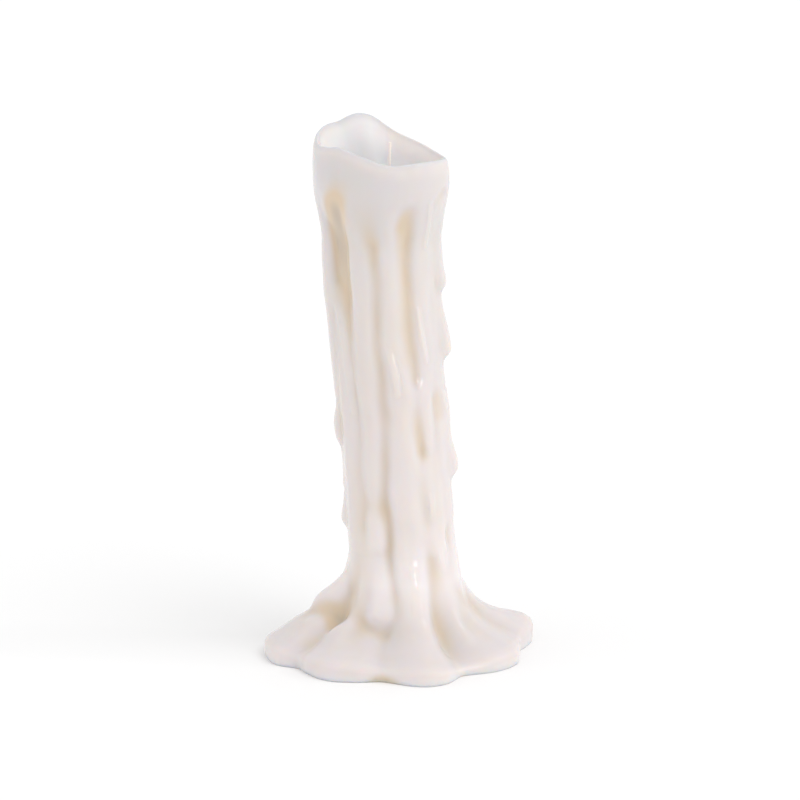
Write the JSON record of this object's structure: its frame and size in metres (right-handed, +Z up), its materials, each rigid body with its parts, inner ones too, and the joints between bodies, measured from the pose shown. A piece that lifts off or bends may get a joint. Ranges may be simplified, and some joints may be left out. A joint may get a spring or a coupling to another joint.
{
  "type": "melted candle",
  "caption": "Leaning pillar candle burned down to a hollow crater, its sides covered in set runs of wax that spread into a lobed pool, with an unlit cotton wick.",
  "frame": {"origin": "the middle of the foot of the pillar, on the flat underside of the pool", "axes": "+Z up; -Y is the front, the side with the longest run and its lobe of the pool; the pillar leans towards -X"},
  "size_m": [0.1091, 0.0986, 0.2172],
  "materials": {
    "wax": "poured ivory wax, satin, letting a little light in",
    "wick": "braided cotton soaked in wax"
  },
  "bodies": {
    "root": {"wax_body": "wax", "wick": "wick"}
  },
  "joints": []
}
